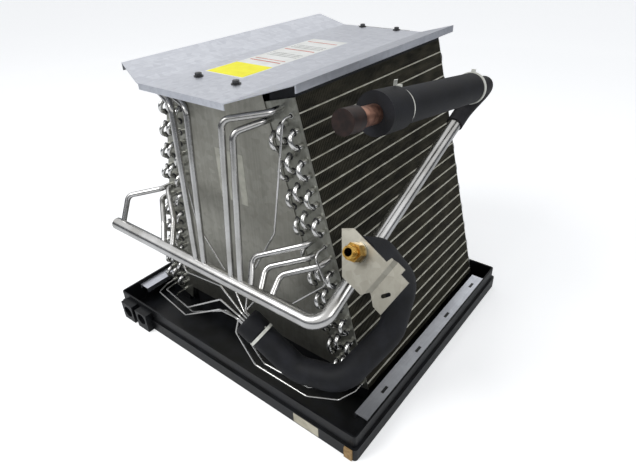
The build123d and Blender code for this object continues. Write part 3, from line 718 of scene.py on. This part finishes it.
# Each tail: the tie head that it leaves, in mm, and its direction.
TAILS = (
    ((262.0, -132.5, 520.0), (0.25, -0.35, 0.9)),
    ((114.0, -232.0, 150.0), (-0.55, -0.35, 0.75)),
)
for spot, lean in TAILS:
    root, along = Vector(spot) * MM, Vector(lean).normalized()
    side = along.orthogonal().normalized() * TAIL_WIDE / 2 * MM
    thin = along.cross(side).normalized() * TAIL_GAUGE / 2 * MM
    rings = []
    for step in range(TAIL_STEPS + 1):
        droop = Vector((0, 0, -TAIL_DROOP * MM)) * step * step
        spine = root + along * TAIL_LONG * MM * step / TAIL_STEPS + droop
        rings.append([spine + a * side + b * thin for a, b in TAIL_SECTION])
    trim.face_loop(rings)
build("tie_trim", trim, [tie_nylon], False)

# %% Stamped slots on the rails, as painted shade
rail_low, rail_high = [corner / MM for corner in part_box("side_rail_right")]
slot_shade_films = Stock()
SLOT_LONG, SLOT_WIDE = 16.0, 5.0
SLOT_PLACES = (-150, -40, 70, 180)
for along in SLOT_PLACES:
    for side in (-1, 1):
        x = side * (rail_low.x + rail_high.x) / 2
        y = (rail_low.y + rail_high.y) / 2 + along
        # A black film on the rail's top: painted shade where the slot opens.
        film(
            slot_shade_films,
            (x - SLOT_WIDE / 2, y - SLOT_LONG / 2, rail_high.z),
            (x + SLOT_WIDE / 2, y + SLOT_LONG / 2, rail_high.z + FILM),
        )
build("rail_slots_painted_shade", slot_shade_films, [black_oxide], False)

# %% [markdown]
# ## Stage, light and camera
# A plain pale floor, a large soft lamp above the front left and a weaker one from the right,
# with an even sky as fill. The floor keeps the object's shadow, and the sky shows white to
# the camera and to reflections without adding light to the object.

# %% Floor
REACH = 9.0
FLOOR_DROP = 0.0005
FLOOR_GLOW = 0.42
floor_mesh = bpy.data.meshes.new("studio_floor")
floor_mesh.from_pydata(
    [(-REACH, -REACH, 0), (REACH, -REACH, 0), (REACH, REACH, 0), (-REACH, REACH, 0)],
    [],
    [(0, 1, 2, 3)],
)
floor = link_new("studio_floor", floor_mesh)
floor.location.z = -FLOOR_DROP
pale, tree, shader = start_material("pale_floor_paint", "#f4f4f4", 0.0, 0.9)
output = tree.nodes["Material Output"]
rays = add(tree, "ShaderNodeLightPath")
glow = add(tree, "ShaderNodeEmission", Color=srgb("#ffffff"), Strength=FLOOR_GLOW)
both = add(tree, "ShaderNodeAddShader", _0=shader.outputs[0], _1=glow.outputs[0])
seen = add(tree, "ShaderNodeMixShader", _0=rays.outputs["Is Camera Ray"])
tree.links.new(shader.outputs[0], seen.inputs[1])
tree.links.new(both.outputs[0], seen.inputs[2])
tree.links.new(seen.outputs[0], output.inputs[0])
floor_mesh.materials.append(pale)
print("floor", 2 * REACH, "m wide")

# %% Sky
SKY_FILL = 0.55
world = bpy.data.worlds.new("studio_sky")
bpy.context.scene.world = world
world.use_nodes = True
tree = world.node_tree
tree.nodes.clear()
rays = add(tree, "ShaderNodeLightPath")
fill = add(tree, "ShaderNodeBackground", Color=srgb("#eef2f7"), Strength=SKY_FILL)
white = add(tree, "ShaderNodeBackground", Color=srgb("#ffffff"), Strength=1.0)
shown = rays.outputs["Is Camera Ray"]
for kind in ("Is Glossy Ray", "Is Transmission Ray"):
    either = {"operation": "MAXIMUM"}
    shown = add(tree, "ShaderNodeMath", either, _0=shown, _1=rays.outputs[kind]).outputs[0]
skies = {"_1": fill.outputs[0], "_2": white.outputs[0]}
mixed = add(tree, "ShaderNodeMixShader", _0=shown, **skies)
add(tree, "ShaderNodeOutputWorld", _0=mixed.outputs[0])
print("sky fills at", SKY_FILL)

# %% [markdown]
# Bright metal shows what stands round it. In an all-white room it would look like paint, so
# a low grey card stands round the stage. Only reflections see it: it casts no shadow and
# takes no light from the object.

# %% Reflection card
CARD_RADIUS, CARD_LOW, CARD_HIGH, CARD_SIDES = 2.6, 0.12, 1.1, 48
card_stock = Stock()
angles = [math.tau * i / CARD_SIDES for i in range(CARD_SIDES)]
edge = [(CARD_RADIUS * math.cos(a), CARD_RADIUS * math.sin(a)) for a in angles]
card_stock.face_loop([[(x, y, z) for x, y in edge] for z in (CARD_LOW, CARD_HIGH)], capped=False)
card = link_new("reflection_card", card_stock.mesh("reflection_card"))
card.data.materials.append(start_material("grey_card", "#5c5e62", 0.0, 0.9)[0])
for kind in ("camera", "diffuse", "shadow", "transmission"):
    setattr(card, f"visible_{kind}", False)
print("card of", CARD_SIDES, "sides")

# %% Lamps
low, high = cad_box
middle = (low + high) / 2


def soft_lamp(name, spot, size, power):
    """A round soft lamp, aimed at the middle of the object."""
    lamp = bpy.data.lights.new(name, "AREA")
    lamp.shape = "DISK"
    lamp.size = size
    lamp.energy = power
    holder = link_new(name, lamp)
    holder.location = spot
    holder.rotation_mode = "QUATERNION"
    holder.rotation_quaternion = (middle - Vector(spot)).to_track_quat("-Z", "Y")


soft_lamp("key_lamp", (-0.9, -1.6, 2.2), 1.4, 34)
soft_lamp("side_lamp", (2.2, -0.4, 1.5), 1.2, 12)
print("lamps: 2")

# %% [markdown]
# The camera stands high at the front right and looks down, turned by a yaw, a pitch and a
# slight roll. Its three axes are worked out from those angles, so each can be tried alone.

# %% Camera
SENSOR = 36.0
LENS = 28.36
YAW, PITCH, ROLL = math.radians(39.5), math.radians(32.6), math.radians(-2.5)
EYE = Vector((545.4, -622.6, 680.2)) * MM
forward = Vector(
    (-math.sin(YAW) * math.cos(PITCH), math.cos(YAW) * math.cos(PITCH), -math.sin(PITCH))
)
right = forward.cross(Vector((0, 0, 1))).normalized()
up = right.cross(forward)
across = right * math.cos(ROLL) + up * math.sin(ROLL)
above = up * math.cos(ROLL) - right * math.sin(ROLL)
camera_data = bpy.data.cameras.new("camera")
camera_data.sensor_width = SENSOR
camera_data.lens = LENS
camera_data.clip_start = 0.01
camera = link_new("camera", camera_data)
turn = Matrix((across, above, -forward)).transposed().to_4x4()
camera.matrix_world = Matrix.Translation(EYE) @ turn
bpy.context.scene.camera = camera
bpy.context.scene.view_settings.view_transform = "Standard"
print("camera at", [round(c, 3) for c in EYE])
